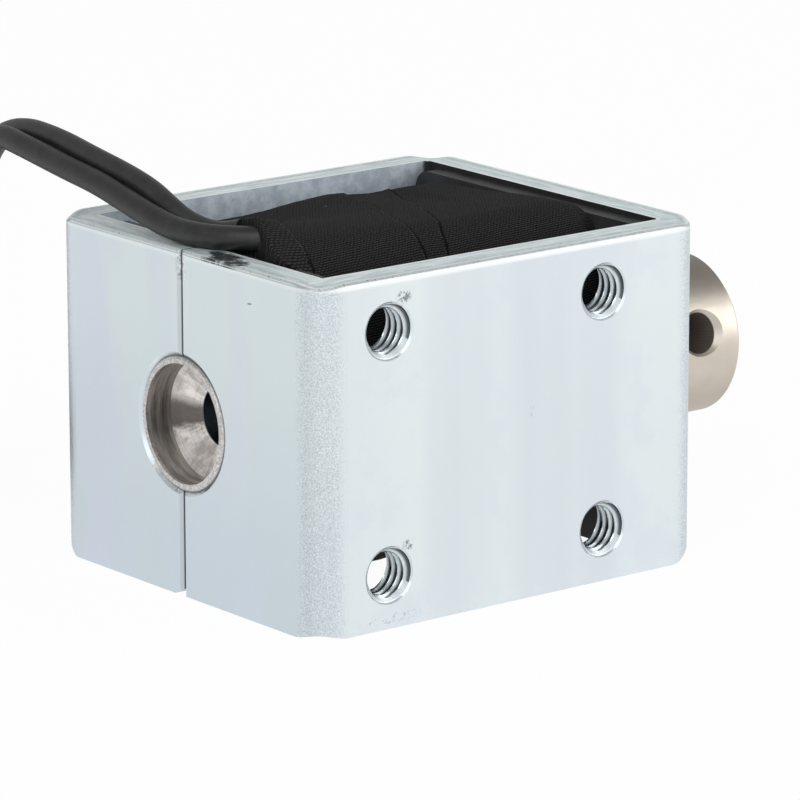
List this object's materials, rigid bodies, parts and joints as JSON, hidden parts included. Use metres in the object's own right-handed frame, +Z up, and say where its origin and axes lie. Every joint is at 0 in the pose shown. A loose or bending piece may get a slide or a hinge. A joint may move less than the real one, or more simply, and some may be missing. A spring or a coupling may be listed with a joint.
{
  "type": "push pull solenoid",
  "caption": "Open box-frame push pull solenoid: folded plated frame with four tapped side holes, taped coil, loose plunger with a cross hole and two flying leads.",
  "frame": {"origin": "on the plane of the frame's lower rim, below the middle of the solenoid from the frame's rear face to the plunger's outer end at rest, on the plunger's mid plane", "axes": "+X along the plunger's axis, out of the frame; +Z up, square to the open sides; the tapped holes face -Y"},
  "size_m": [0.0615, 0.0737, 0.0315],
  "materials": {
    "zinc_plated_steel": "satin bright zinc plating",
    "bare_steel": "turned steel",
    "nickel_plated_steel": "nickel plated, satin",
    "stainless_rod": "ground",
    "brass_tube": "drawn",
    "black_nylon": "moulded",
    "enamelled_copper": "enamelled wire",
    "insulation_film": "clear amber film",
    "cloth_tape": "black woven cloth tape",
    "lead_insulation": "satin black insulation",
    "tinned_wire": "tinned strands",
    "paper_tie": "paper covered tie"
  },
  "bodies": {
    "housing": {"frame": "zinc_plated_steel", "pole_piece": "bare_steel", "residual_washer": "insulation_film", "guide_sleeve": "brass_tube", "bobbin": "black_nylon", "winding": "enamelled_copper", "winding_film": "insulation_film", "tape_wrap": "cloth_tape", "lead_anchor_tape": "cloth_tape", "lead_splice_1": "lead_insulation", "lead_splice_2": "lead_insulation", "lead_wire_1": "lead_insulation", "lead_wire_2": "lead_insulation", "lead_coil_1": "lead_insulation", "lead_coil_2": "lead_insulation", "lead_tip_1": "tinned_wire", "lead_tip_2": "tinned_wire", "coil_tie": "paper_tie"},
    "armature": {"plunger": "nickel_plated_steel", "push_rod": "stainless_rod"}
  },
  "joints": [
    {"name": "plunger_slide", "type": "slide", "parent": "housing", "child": "armature", "axis": [1, 0, 0], "range_m": [-0.007, 0.003]}
  ]
}
